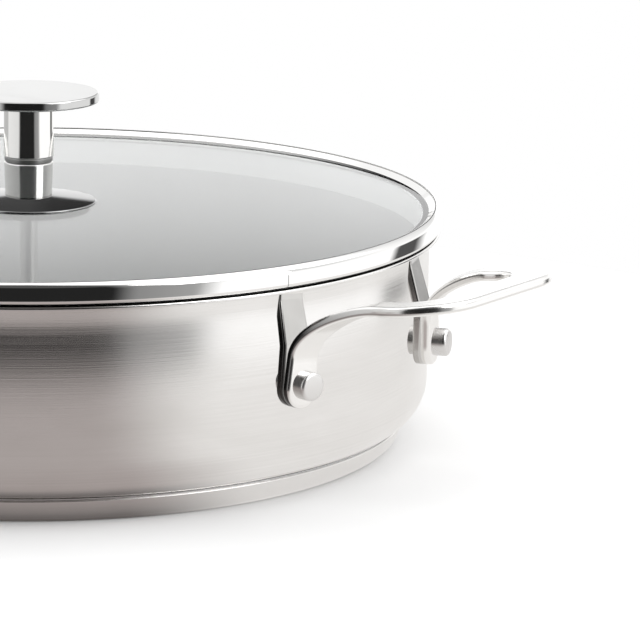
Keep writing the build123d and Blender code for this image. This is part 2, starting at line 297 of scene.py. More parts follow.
def grid_faces(rows, columns, close_rows):
    """Quads between neighbouring rows of a grid whose columns run round and close."""
    row = np.arange(rows if close_rows else rows - 1)[:, None]
    column = np.arange(columns)[None, :]
    ahead = (row + 1) % rows
    beside = (column + 1) % columns
    quads = [row * columns + column, row * columns + beside,
             ahead * columns + beside, ahead * columns + column]
    return np.stack(np.broadcast_arrays(*quads), axis=-1).reshape(-1, 4)


def make_piece(name, points, faces, material, body, replaced):
    """Puts points in millimetres and faces into a mesh that rides on a body for some nodes."""
    mesh = bpy.data.meshes.new(name)
    mesh.from_pydata((points * millimetre).tolist(), [], faces)
    mesh.validate()
    mesh.polygons.foreach_set("use_smooth", np.ones(len(mesh.polygons), bool))
    mesh.set_sharp_from_angle(angle=crease)
    mesh.materials.append(material)
    piece = bpy.data.objects.new(name, mesh)
    bpy.context.scene.collection.objects.link(piece)
    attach(piece, body)
    if replaced:
        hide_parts(*replaced)
    return piece


def turned_piece(name, profile, material, body, replaced, closed=False, axis=None,
                 steps=steps_per_turn):
    """A profile of (radius, height) turned once round an axis: each row of the grid is one profile
    point carried round in a circle. A row on the axis closes to one pole point. The profile runs
    upwards on the outside, so that the faces point outwards."""
    profile = np.asarray(profile, float)
    turn = np.arange(steps) * 2 * math.pi / steps
    first_pole, last_pole = profile[0, 0] == 0, profile[-1, 0] == 0
    rows = profile[(1 if first_pole else 0):(-1 if last_pole else None)]
    radius, height = rows[:, :1], rows[:, 1:]
    ring = np.broadcast_arrays(radius * np.cos(turn), radius * np.sin(turn), height)
    points = np.stack(ring, axis=-1).reshape(-1, 3)
    faces = grid_faces(len(rows), steps, closed).tolist()
    around = np.arange(steps)
    beside = (around + 1) % steps
    if first_pole:
        pole = np.full_like(around, len(points))
        points = np.vstack([points, (0, 0, profile[0, 1])])
        faces += np.stack([pole, beside, around], axis=1).tolist()
    if last_pole:
        top = (len(rows) - 1) * steps
        pole = np.full_like(around, len(points))
        points = np.vstack([points, (0, 0, profile[-1, 1])])
        faces += np.stack([pole, top + around, top + beside], axis=1).tolist()
    if axis is not None:
        origin, out = axis
        side = np.cross((0, 0, 1), out)
        points = origin + np.outer(points[:, 0], side) \
            + np.outer(points[:, 1], np.cross(out, side)) + np.outer(points[:, 2], out)
    return make_piece(name, points, faces, material, body, replaced)


def rounded_section(steps=5, hold=0.12):
    """Directions round a strap's cross-section: corner signs and the arc inside each corner, with a
    holding point a little way along each flat side."""
    quarter = np.linspace(0, math.pi / 2, steps + 1)
    arc = np.stack([np.cos(quarter), np.sin(quarter)], axis=1)
    arc = np.vstack([(1, -hold), arc, (-hold, 1)])
    turns = [np.array([[math.cos(a), math.sin(a)], [-math.sin(a), math.cos(a)]])
             for a in (k * math.pi / 2 for k in range(4))]
    signs = np.repeat(np.array([(1, 1), (-1, 1), (-1, -1), (1, -1)]), len(arc), axis=0)
    return signs, np.vstack([arc @ turn for turn in turns])


def strap_piece(name, centre, across, upward, half_width, half_thickness, edge_radius,
                material, replaced, front_share=0.0):
    """A strap carried along its middle line: at each station a rectangle with rounded corners,
    half_width along across and half_thickness along upward, with one face closing each end. The
    attribute outer_side grows from about -1 on the inner side face to about 1 on the outer one."""
    signs, arc = rounded_section()
    half = np.stack(np.broadcast_arrays(half_width, half_thickness), axis=1)[:, None, :]
    round_off = np.minimum(edge_radius, half.min(axis=2, keepdims=True))
    flat = signs * (half - round_off) + arc * round_off
    points = centre[:, None, :] + flat[..., :1] * across[:, None, :] \
        + flat[..., 1:] * upward[:, None, :]
    sides = (flat[..., 0] / half[..., 0] + front_share * flat[..., 1] / half[..., 1]).ravel()
    stations, corners = flat.shape[:2]
    faces = grid_faces(stations, corners, False).tolist()
    points = points.reshape(-1, 3)
    last = (stations - 1) * corners
    faces += [list(range(corners))[::-1], [last + k for k in range(corners)]]
    piece = make_piece(name, points, faces, material, "pan", replaced)
    piece.data.attributes.new("outer_side", "FLOAT", "POINT").data.foreach_set("value", sides)
    return piece


def unit(vectors):
    """Each row scaled to length one."""
    return vectors / np.linalg.norm(vectors, axis=-1, keepdims=True)


def leg_directions(side):
    """Out from the pan, across the leg away from the handle's middle, and up along the leg."""
    out = np.array([math.cos(leg_angle), side * math.sin(leg_angle), 0.0])
    level = np.array([-math.sin(leg_angle), side * math.cos(leg_angle), 0.0])
    rise = np.array([0.0, 0.0, 1.0])
    across = level * math.cos(leg_splay) + rise * math.sin(leg_splay)
    upward = rise * math.cos(leg_splay) - level * math.sin(leg_splay)
    return out, across, upward


def round_end(width, drop, steps=10):
    """Distances up the leg and half widths of its round end: a half circle that grows from just
    above its tip."""
    angle = np.linspace(tip_first_angle, math.pi / 2, steps)
    return -drop + width / 2 * (1 - np.cos(angle)), width / 2 * np.sin(angle)


def handle_half():
    """Stations of one half of a handle, from the rear leg's tip to the middle of the loop's end:
    middle points, across and upward directions, half widths and half thicknesses. The leg is
    straight, the bend is a cubic curve whose across direction turns with the square of the way,
    and in the loop each station joins a point of the outer outline to one of the hole's."""
    out, across, rise = leg_directions(1)
    foot = out * (strap_inner_radius + strap_thickness / 2) + np.array([0, 0, rivet_height])
    end_way, end_half = round_end(leg_width, leg_end_drop)
    leg_way = np.linspace(end_way[-1], leg_straight, 8)[1:]
    leg_half = np.interp(leg_way, (end_way[-1], leg_straight), (leg_width / 2, leg_top_width / 2))
    way = np.concatenate([end_way, leg_way])
    leg_middle = foot + way[:, None] * rise
    leg_across = np.tile(across, (len(way), 1))
    leg_upward = np.tile(-out, (len(way), 1))
    half = np.concatenate([end_half, leg_half])

    ahead = np.array([math.cos(loop_rise), 0, math.sin(loop_rise)])
    normal = np.array([-math.sin(loop_rise), 0, math.cos(loop_rise)])
    sideways = np.array([0.0, 1.0, 0.0])
    origin = np.array([loop_start[0], 0, loop_start[1]]) - normal * strap_thickness / 2

    def on_loop(flat):
        return origin + flat[:, :1] * ahead + flat[:, 1:] * sideways

    heading = np.array([math.cos(loop_heading), math.sin(loop_heading)])
    beside = np.array([-heading[1], heading[0]])
    arm = np.array([0, loop_start_spread])
    arm_heading = heading[0] * ahead + heading[1] * sideways
    arm_across = beside[0] * ahead + beside[1] * sideways
    arm_start = on_loop(arm[None])[0]

    share = np.linspace(0, 1, 26)[1:, None]
    a, d = foot + rise * leg_straight, arm_start
    b, c = a + rise * bend_up_pull, d - arm_heading * bend_out_pull
    bend_middle = (1 - share) ** 3 * a + 3 * (1 - share) ** 2 * share * b \
        + 3 * (1 - share) * share ** 2 * c + share ** 3 * d
    along = unit(3 * (1 - share) ** 2 * (b - a) + 6 * (1 - share) * share * (c - b)
                 + 3 * share ** 2 * (d - c))
    turned = across * (1 - share ** 2) + arm_across * share ** 2
    bend_across = unit(turned - along * np.sum(turned * along, axis=1, keepdims=True))
    bend_upward = np.cross(along, bend_across)
    bend_half = np.interp(share[:, 0], (0, 1), (leg_top_width / 2, loop_arm_width / 2))

    def ease(start, start_pull, end, steps):
        """A cubic curve that leaves along start_pull and arrives along the loop's sides."""
        t = np.linspace(0, 1, steps)[1:, None]
        reach = end[0] - start[0]
        p1 = start + start_pull * reach * arm_ease_share
        p2 = end - np.array([1, 0]) * reach * arm_ease_share
        return (1 - t) ** 3 * start + 3 * (1 - t) ** 2 * t * p1 \
            + 3 * (1 - t) * t ** 2 * p2 + t ** 3 * end

    hole_half_width = loop_half_width - loop_arm_width
    hole_reach = loop_reach - loop_end_width
    outer_corner = np.array([loop_reach, loop_half_width]) - loop_corner_radius
    inner_corner = np.array([hole_reach, hole_half_width]) - hole_corner_radius
    turn = np.linspace(math.pi / 2, 0, 17)[1:]
    arc = np.stack([np.cos(turn), np.sin(turn)], axis=1)
    run = np.linspace(1, 0, 8)[1:, None]
    outer = np.vstack([
        ease(arm + beside * loop_arm_width / 2, heading,
             outer_corner + [0, loop_corner_radius], 16),
        outer_corner + arc * loop_corner_radius,
        np.hstack([np.full_like(run, loop_reach), run * outer_corner[1]]),
    ])
    inner = np.vstack([
        ease(arm - beside * loop_arm_width / 2, heading,
             inner_corner + [0, hole_corner_radius], 16),
        inner_corner + arc * hole_corner_radius,
        np.hstack([np.full_like(run, hole_reach), run * inner_corner[1]]),
    ])
    loop_outer, loop_inner = on_loop(outer), on_loop(inner)
    loop_half = np.linalg.norm(loop_outer - loop_inner, axis=1) / 2
    return (
        np.vstack([leg_middle, bend_middle, (loop_outer + loop_inner) / 2]),
        np.vstack([leg_across, bend_across, unit(loop_outer - loop_inner)]),
        np.vstack([leg_upward, bend_upward, np.tile(normal, (len(outer), 1))]),
        np.concatenate([half, bend_half, loop_half]),
    )


def make_handle(name, facing, material):
    """A whole handle: the half strap and its mirror image, joined at the middle of the loop's
    end, and thinned at the legs' tips by a quarter circle. facing is 1 on the right and -1 on the
    left, where the handle is turned half round."""
    middle, across, upward, half = handle_half()
    mirror = np.array([1, -1, 1])
    middle = np.vstack([middle, middle[-2::-1] * mirror]) * (facing, facing, 1)
    across = np.vstack([across, across[-2::-1] * mirror]) * (facing, facing, 1)
    upward = np.vstack([upward, upward[-2::-1] * mirror]) * (facing, facing, 1)
    half = np.concatenate([half, half[-2::-1]])
    stations = np.arange(len(half))
    tip = np.minimum(stations, stations[::-1]) / tip_stations
    thick = strap_thickness / 2 * np.sqrt(1 - (1 - np.clip(tip + tip_first_share, 0, 1)) ** 2)
    piece = strap_piece(name, middle, across, upward, half, thick, strap_edge_radius, material,
                        [name.replace("_strap", "")], front_share=leg_front_share)
    piece.visible_glossy = False


def make_bracket(corner, side, facing, material):
    """A bent strip behind a leg: up from its round end, leaning in to the wall, and welded there.
    The lean and its two bends are one rounded path of radius against height."""
    out, across, rise = leg_directions(side)
    middle_shift = bracket_thickness / 2
    end_way, end_half = round_end(leg_width, leg_end_drop)
    slant = math.cos(leg_splay)
    path = rounded_path(
        [(bracket_inner_radius + middle_shift, rivet_height + end_way[-1] * slant),
         (bracket_inner_radius + middle_shift, lean_end),
         (weld_radius + middle_shift, weld_end),
         (weld_radius + middle_shift, bracket_top)],
        [bracket_bend_radius, bracket_bend_radius], steps=8)
    way = np.concatenate([end_way[:-1], (path[:, 1] - rivet_height) / slant])
    radius = np.concatenate([np.full(len(end_way) - 1, path[0, 0]), path[:, 0]])
    span = (end_way[-1], lip_height - rivet_height)
    half = np.interp(way, span, (leg_width / 2, bracket_top_width / 2))
    half[:len(end_half)] = end_half
    sideways = np.interp(way, span, (0, bracket_top_shift))
    middle = radius[:, None] * out + way[:, None] * rise + sideways[:, None] * across \
        + np.array([0, 0, rivet_height])
    along = unit(np.gradient(middle, axis=0))
    upward = np.cross(along, across)
    turn = (facing, facing, 1)
    name = "bracket_" + corner
    across = np.tile(across, (len(way), 1))
    piece = strap_piece(name + "_strip", middle * turn, across * turn, upward * turn, half,
                        bracket_thickness / 2, bracket_edge_radius, material, [name])
    piece.visible_glossy = False


def make_rivet(corner, side, facing, material):
    """A rivet turned round its own axis: a rounded outer head, its shank, and a low inner head."""
    out, _, _ = leg_directions(side)
    out = out * (facing, facing, 1)
    seat = strap_inner_radius + strap_thickness
    inner = math.sqrt((wall_radius - wall) ** 2 - rivet_head_radius ** 2)
    outer_head = rounded_path(
        [(rivet_shank_radius, seat), (rivet_head_radius, seat),
         (rivet_head_radius, seat + rivet_head_height),
         (0, seat + rivet_head_height + rivet_crown)],
        [rivet_seat_round, rivet_head_round])
    inner_head = rounded_path(
        [(0, inner - rivet_inner_height),
         (rivet_head_radius - rivet_inner_round, inner - rivet_inner_height),
         (rivet_head_radius, inner), (rivet_shank_radius, inner)],
        [rivet_inner_round, 0.0])
    profile = np.vstack([inner_head, outer_head])
    name = "rivet_" + corner
    piece = turned_piece(name + "_turned", profile, material, "pan", [name],
                         axis=(np.array([0, 0, rivet_height]), out), steps=steps_per_small_turn)
    piece.visible_glossy = False


def make_pan_shell(material):
    """The pan's body: one wall from the middle of the floor, round the corner and over the lip.
    Its upper part flares by the cube of the way up to the lip's mouth."""
    profile = rounded_path(
        [(0, body_floor), (wall_radius, body_floor), (wall_radius, lip_height - wall),
         (lip_radius, lip_height - wall), (lip_radius, lip_height),
         (wall_radius - wall, lip_height), (wall_radius - wall, body_floor + wall),
         (0, body_floor + wall)],
        [corner_radius, lip_mouth - wall, lip_edge, lip_edge, lip_mouth, corner_radius - wall],
        steps=14)
    flare_run = lip_height - lip_mouth - flare_start
    extra = flare_start + np.linspace(0, 1, 12)[:, None] * flare_run
    extra = np.hstack([np.full_like(extra, wall_radius), extra])
    outside = np.flatnonzero(profile[:, 1] > flare_start)[0]
    profile = np.insert(profile, outside, extra, axis=0)
    rise = np.clip((profile[:, 1] - flare_start) / flare_run, 0, 1)
    profile[:, 0] += flare * rise ** 3 * (profile[:, 0] > 0)
    return turned_piece("pan_shell", profile, material, "pan", ["pan_body"])


def make_base_shell(material):
    """The capsule base's steel cap: its foot, its leaning side and the edge rolled in at the
    seam, all as one profile of straight runs with rounded corners."""
    foot, shoulder = (cap_foot_radius, 0), cap_shoulder
    profile = rounded_path(
        [(0, 0), foot, shoulder, (seam_radius, seam_height),
         (seam_radius - cap_wall, seam_height - cap_wall),
         (shoulder[0] - cap_wall, shoulder[1] + cap_wall / 2),
         (foot[0] - cap_wall, cap_wall), (0, cap_wall)],
        [cap_foot_round, cap_shoulder_round, seam_round, 0.0, 0.0, 0.0])
    return turned_piece("base_shell", profile, material, "pan", ["base_cap"])


def make_rim_bead(material):
    """The lid's rim: a skirt inside the pan, a seat on its lip, and a full round fold over the
    glass. Outside the crest it is drawn in by the square of the height from its middle."""
    skirt_middle = (skirt_inner, (skirt_bottom + glass_underside) / 2)
    profile = rounded_path(
        [skirt_middle, (skirt_inner, skirt_bottom), (skirt_outer, skirt_bottom),
         (skirt_outer, lip_height), (seat_outer, lip_height), (seat_outer, rim_underside),
         (rim_radius, rim_underside), (rim_radius, rim_crest), (rim_crest_inner, rim_crest),
         (rim_inner_radius, glass_top), (rim_fold_radius, glass_top),
         (rim_fold_radius, glass_underside), (skirt_inner, glass_underside), skirt_middle],
        [skirt_round, skirt_round, 0.0, 0.0, 0.0, bead_round, bead_outer_round, bead_round,
         0.0, 0.0, 0.0, fold_round], steps=12)[:-1]
    height = np.clip((profile[:, 1] - rim_middle) / (rim_crest - rim_middle), -1, 1)
    profile[:, 0] -= np.where(profile[:, 0] > rim_crest_inner, rim_barrel * height ** 2, 0)
    return turned_piece("rim_bead", profile, material, "lid", ["lid_rim"], closed=True)


def make_knob(finishes):
    """The knob's turned pieces: flange, lower stem, ring between two grooves, upper stem and disc.
    The upper stem widens toward the ring by the square of the way down from its waist. None of
    them shows in its neighbours' gloss or in the glass, as in the photograph."""
    groove_radius = stem_radius - ring_groove_depth
    profiles = {
        "knob_flange": rounded_path(
            [(0, flange_bottom), (flange_radius, flange_bottom),
             (flange_radius, flange_bottom + flange_edge),
             (stem_foot_radius, flange_top), (0, flange_top)],
            [flange_underside_round, flange_edge_round, 0.0]),
        "knob_lower_stem": rounded_path(
            [(0, flange_top), (stem_foot_radius, flange_top),
             (stem_radius, ring_bottom), (0, ring_bottom)],
            [0.0, stem_end_round]),
        "knob_ring": rounded_path(
            [(0, ring_bottom), (groove_radius, ring_bottom),
             (groove_radius, ring_bottom + ring_groove), (ring_radius, ring_bottom + ring_groove),
             (ring_radius, ring_top - ring_groove), (groove_radius, ring_top - ring_groove),
             (groove_radius, ring_top), (0, ring_top)],
            [0.0, 0.0, ring_round, ring_round, 0.0, 0.0]),
        "knob_upper_stem": rounded_path(
            [(0, ring_top), (stem_radius, ring_top), (stem_radius, knob_bottom), (0, knob_bottom)],
            [stem_end_round, 0.0]),
        "knob_disc": rounded_path(
            [(0, knob_bottom), (knob_radius, knob_bottom), (knob_radius, knob_top), (0, knob_top)],
            [disc_underside_round, disc_top_round]),
    }
    stem = profiles["knob_upper_stem"]
    run = np.linspace(ring_top + 2.5 * stem_end_round, stem_waist, 12)[:, None]
    stem = np.insert(stem, len(stem) - 2, np.hstack([np.full_like(run, stem_radius), run]), axis=0)
    drop = np.clip((stem_waist - stem[:, 1]) / (stem_waist - ring_top), 0, 1)
    stem[:, 0] += stem_flare * drop ** 2 * (stem[:, 0] > 0)
    profiles["knob_upper_stem"] = stem
    for name, profile in profiles.items():
        piece = turned_piece(name + "_turned", profile, finishes[name], "lid", [name],
                             steps=steps_per_turn // 2)
        piece.visible_glossy = piece.visible_transmission = False


# Room and light

def add_node(tree, kind, **settings):
    """Adds one shader node and sets its plain properties."""
    node = tree.nodes.new(kind)
    for name, value in settings.items():
        setattr(node, name, value)
    return node


def feed(tree, value, socket):
    """Gives a socket a number, a colour or another node's output."""
    if isinstance(value, bpy.types.NodeSocket):
        tree.links.new(value, socket)
    else:
        socket.default_value = value


def math_node(tree, operation, *values, clamp=False):
    """A Math node fed by sockets or numbers; gives its output socket."""
    node = add_node(tree, "ShaderNodeMath", operation=operation, use_clamp=clamp)
    for socket, value in zip(node.inputs, values):
        feed(tree, value, socket)
    return node.outputs[0]


def range_node(tree, value, low, high, to_low, to_high, smooth=False):
    """A Map Range node from low..high to to_low..to_high, clamped; gives its output socket."""
    node = add_node(tree, "ShaderNodeMapRange",
                    interpolation_type="SMOOTHSTEP" if smooth else "LINEAR")
    for name, number in {"From Min": low, "From Max": high,
                         "To Min": to_low, "To Max": to_high}.items():
        node.inputs[name].default_value = number
    feed(tree, value, node.inputs["Value"])
    return node.outputs[0]


def bearing_ramp(tree, share, stops):
    """Grey levels by bearing: share runs from 0 at -180 degrees to 1 at 180."""
    node = add_node(tree, "ShaderNodeValToRGB")
    ramp = node.color_ramp.elements
    ramp.remove(ramp[-1])
    for index, (degrees, level) in enumerate(stops):
        stop = ramp[0] if index == 0 else ramp.new(degrees / 360 + 0.5)
        stop.position = degrees / 360 + 0.5
        stop.color = (level, level, level, 1)
    feed(tree, share, node.inputs[0])
    return node.outputs[0]


def mix_colours(tree, factor, first, second):
    """A colour between two by a factor of 0 to 1."""
    node = add_node(tree, "ShaderNodeMix", data_type="RGBA")
    feed(tree, factor, node.inputs["Factor"])
    feed(tree, first, node.inputs[6])
    feed(tree, second, node.inputs[7])
    return node.outputs[2]


def light_the_room():
    """A white studio as its reflections show it: bright and dark screens by bearing, lower and
    higher ones and a roof that is dark in front. The camera itself sees plain white."""
    world = bpy.data.worlds.new("white_studio")
    bpy.context.scene.world = world
    world.use_nodes = True
    tree = world.node_tree
    tree.nodes.clear()
    direction = add_node(tree, "ShaderNodeTexCoord").outputs["Generated"]
    parts = add_node(tree, "ShaderNodeSeparateXYZ")
    feed(tree, direction, parts.inputs[0])
    east, north, height = parts.outputs
    south = math_node(tree, "MULTIPLY", north, -1.0)
    bearing = math_node(tree, "SUBTRACT", math_node(tree, "ARCTAN2", east, south), camera_turn)
    wrapped = math_node(tree, "WRAP", bearing, math.pi, -math.pi)
    share = math_node(tree, "ADD", math_node(tree, "DIVIDE", wrapped, 2 * math.pi), 0.5)

    def above(limits):
        start, end = (math.sin(math.radians(limit)) for limit in limits)
        return range_node(tree, height, start, end, 0.0, 1.0, smooth=True)

    room = bearing_ramp(tree, share, floor_screens)
    room = mix_colours(tree, above(floor_screens_top), room, bearing_ramp(tree, share, low_screens))
    room = mix_colours(tree, above(low_screens_top), room, bearing_ramp(tree, share, high_screens))
    room = mix_colours(tree, above(high_screens_top), room, bearing_ramp(tree, share, roof_screens))
    studio = add_node(tree, "ShaderNodeBackground")
    feed(tree, room, studio.inputs["Color"])
    backdrop = add_node(tree, "ShaderNodeBackground")
    backdrop.inputs["Color"].default_value = white
    both = add_node(tree, "ShaderNodeMixShader")
    feed(tree, add_node(tree, "ShaderNodeLightPath").outputs["Is Camera Ray"], both.inputs[0])
    feed(tree, studio.outputs[0], both.inputs[1])
    feed(tree, backdrop.outputs[0], both.inputs[2])
    feed(tree, both.outputs[0], add_node(tree, "ShaderNodeOutputWorld").inputs["Surface"])


def add_softbox(name, centre, aim, size, power):
    """A large soft square lamp that points from its centre to its aim."""
    data = bpy.data.lights.new(name, "AREA")
    data.shape = "RECTANGLE"
    data.size = data.size_y = size
    data.energy = power
    lamp = bpy.data.objects.new(name, data)
    lamp.location = centre
    lamp.rotation_euler = (Vector(aim) - Vector(centre)).to_track_quat("-Z", "Y").to_euler()
    bpy.context.scene.collection.objects.link(lamp)
    return lamp


def lay_floor():
    """A plain pale round table top: a circle of points. Only in the steel's gloss it glows with a
    painted reflection: a dull patch in front of the pan with a painted shadow darkest by its foot,
    at places that stay put in every view."""
    mesh = bpy.data.meshes.new("pale_table")
    turn = np.linspace(0, 2 * math.pi, 97)[:-1]
    circle = table_radius * np.stack([np.cos(turn), np.sin(turn), 0 * turn], axis=1)
    mesh.from_pydata(circle.tolist(), [], [tuple(range(len(turn)))])
    table = bpy.data.objects.new("pale_table", mesh)
    bpy.context.scene.collection.objects.link(table)
    material = bpy.data.materials.new("pale_table")
    material.use_nodes = True
    tree = material.node_tree
    shader = tree.nodes["Principled BSDF"]
    parts = add_node(tree, "ShaderNodeSeparateXYZ")
    feed(tree, add_node(tree, "ShaderNodeTexCoord").outputs["Object"], parts.inputs[0])
    east, north, _ = parts.outputs
    bearing = math_node(tree, "ARCTAN2", east, math_node(tree, "MULTIPLY", north, -1.0))
    aside = math_node(tree, "ABSOLUTE", math_node(tree, "WRAP", math_node(
        tree, "ADD", bearing, -camera_turn - table_turn), math.pi, -math.pi))
    paleness = range_node(tree, aside, *table_dull_angles, 0.0, 1.0, smooth=True)
    distance = axis_parts(tree)[1]
    by_foot = range_node(tree, distance, *table_foot_reach, 1.0, 0.0, smooth=True)
    # painted shadow by the pan's foot, within the dull front of the table's painted reflection
    front_painted_shadow = mix_colours(tree, by_foot, table_dull, table_foot_painted_shadow)
    painted_reflection = mix_colours(tree, paleness, front_painted_shadow, table_pale)
    seen_in_steel = add_node(tree, "ShaderNodeLightPath").outputs["Is Glossy Ray"]
    dimmed = math_node(tree, "MULTIPLY", seen_in_steel, 1 - table_dull_share)
    feed(tree, mix_colours(tree, dimmed, table_white, black), shader.inputs["Base Color"])
    feed(tree, painted_reflection, shader.inputs["Emission Color"])
    feed(tree, seen_in_steel, shader.inputs["Emission Strength"])
    shader.inputs["Roughness"].default_value = table_roughness
    shader.inputs["Specular IOR Level"].default_value = 0.0
    mesh.materials.append(material)


# Finishes

def new_material(name):
    """An empty material with its Principled shader; gives material, tree and shader."""
    material = bpy.data.materials.new(name)
    material.use_nodes = True
    tree = material.node_tree
    return material, tree, tree.nodes["Principled BSDF"]


def wear(obj, material):
    """Puts a material on a piece in place of the one it came with."""
    obj.data.materials.clear()
    obj.data.materials.append(material)


def new_group(name, inputs, outputs):
    """An empty shader node group with named number inputs, each with its usual value, and
    outputs."""
    tree = bpy.data.node_groups.new(name, "ShaderNodeTree")
    for title, value in inputs.items():
        socket = tree.interface.new_socket(title, in_out="INPUT", socket_type="NodeSocketFloat")
        socket.default_value = value
    for title in outputs:
        tree.interface.new_socket(title, in_out="OUTPUT", socket_type="NodeSocketFloat")
    given, put = tree.nodes.new("NodeGroupInput"), tree.nodes.new("NodeGroupOutput")
    return tree, given.outputs, put.inputs


def noise_node(tree, place, scale, detail, distortion=0.0):
    """A Noise Texture node; gives its value socket."""
    node = add_node(tree, "ShaderNodeTexNoise")
    feed(tree, place, node.inputs["Vector"])
    feed(tree, scale, node.inputs["Scale"])
    node.inputs["Detail"].default_value = detail
    node.inputs["Distortion"].default_value = distortion
    return node.outputs["Fac"]


def axis_parts(tree):
    """Angle round the pan's axis, distance from it and height, from Object coordinates in
    metres."""
    parts = add_node(tree, "ShaderNodeSeparateXYZ")
    feed(tree, add_node(tree, "ShaderNodeTexCoord").outputs["Object"], parts.inputs[0])
    x, y, z = parts.outputs
    squares = math_node(tree, "ADD", math_node(tree, "MULTIPLY", x, x),
                        math_node(tree, "MULTIPLY", y, y))
    return math_node(tree, "ARCTAN2", y, x), math_node(tree, "SQRT", squares), z


def make_brushing_group():
    """Marks of brushing round the pan's axis: noise stretched along the turn, fine across it, and
    broad faint clouds where the belt pressed more or less."""
    tree, given, put = new_group("brushing_round_axis", {
        "Lines per Metre": 2600.0, "Line Length": 0.7, "Cloud Size": 0.02}, ["Lines", "Clouds"])
    angle, radius, height = axis_parts(tree)
    fine = add_node(tree, "ShaderNodeCombineXYZ")
    feed(tree, math_node(tree, "DIVIDE", angle, given["Line Length"]), fine.inputs[0])
    feed(tree, math_node(tree, "MULTIPLY", height, given["Lines per Metre"]), fine.inputs[1])
    feed(tree, math_node(tree, "MULTIPLY", radius, given["Lines per Metre"]), fine.inputs[2])
    feed(tree, noise_node(tree, fine.outputs[0], 1.0, 3.0), put["Lines"])
    broad = add_node(tree, "ShaderNodeCombineXYZ")
    feed(tree, math_node(tree, "DIVIDE", angle, 0.35), broad.inputs[0])
    feed(tree, math_node(tree, "DIVIDE", height, given["Cloud Size"]), broad.inputs[1])
    feed(tree, math_node(tree, "DIVIDE", radius, given["Cloud Size"]), broad.inputs[2])
    feed(tree, noise_node(tree, broad.outputs[0], 1.0, 4.0, 0.4), put["Clouds"])
    return tree


def make_haze_group():
    """The faint unevenness of a polished or blasted surface: soft clouds and fine scuffs."""
    tree, given, put = new_group("polishing_haze", {
        "Cloud Scale": 45.0, "Scuff Scale": 900.0}, ["Clouds", "Scuffs"])
    place = add_node(tree, "ShaderNodeTexCoord").outputs["Object"]
    feed(tree, noise_node(tree, place, given["Cloud Scale"], 3.0, 0.6), put["Clouds"])
    feed(tree, noise_node(tree, place, given["Scuff Scale"], 2.0), put["Scuffs"])
    return tree


def use_group(tree, group, **values):
    """Places a node group with its own values, titles written with underscores; gives its
    outputs."""
    node = add_node(tree, "ShaderNodeGroup", node_tree=group)
    for title, value in values.items():
        node.inputs[title.replace("_", " ")].default_value = value
    return node.outputs


def add_bump(tree, shader, height, strength, distance):
    """A Bump node into the shader's normal."""
    bump = add_node(tree, "ShaderNodeBump")
    bump.inputs["Strength"].default_value = strength
    bump.inputs["Distance"].default_value = distance
    feed(tree, height, bump.inputs["Height"])
    feed(tree, bump.outputs[0], shader.inputs["Normal"])


def shade_between(tree, shader, mask, dark, light):
    """Base colour between two close shades of the metal, by a mask."""
    feed(tree, mix_colours(tree, mask, (*dark, 1), (*light, 1)), shader.inputs["Base Color"])


def make_polished_steel(name, dark, light, gloss, scuff_depth=0.00002):
    """Polished steel: a mirror with soft clouds in its gloss, which is the lowest and highest
    roughness, and the finest scuffs."""
    material, tree, shader = new_material(name)
    shader.inputs["Metallic"].default_value = 1.0
    haze = use_group(tree, haze_group)
    shade_between(tree, shader, haze["Clouds"], dark, light)
    feed(tree, range_node(tree, haze["Clouds"], 0.3, 0.7, *gloss), shader.inputs["Roughness"])
    add_bump(tree, shader, haze["Scuffs"], 0.05, scuff_depth)
    return material


def make_satin_steel(name, dark, light, gloss, spread):
    """Satin steel brushed round the pan's axis, its gloss, from the lowest to the highest
    roughness, spread along the turn."""
    material, tree, shader = new_material(name)
    shader.inputs["Metallic"].default_value = 1.0
    shader.inputs["Anisotropic"].default_value = spread
    brushing = use_group(tree, brushing_group)
    clouds = range_node(tree, brushing["Clouds"], 0.25, 0.75, 0.0, 1.0)
    shade_between(tree, shader, clouds, dark, light)
    feed(tree, range_node(tree, brushing["Lines"], 0.3, 0.7, *gloss), shader.inputs["Roughness"])
    add_bump(tree, shader, brushing["Lines"], 0.1, 0.00005)
    tangent = add_node(tree, "ShaderNodeTangent", direction_type="RADIAL", axis="Z")
    feed(tree, tangent.outputs[0], shader.inputs["Tangent"])
    return material


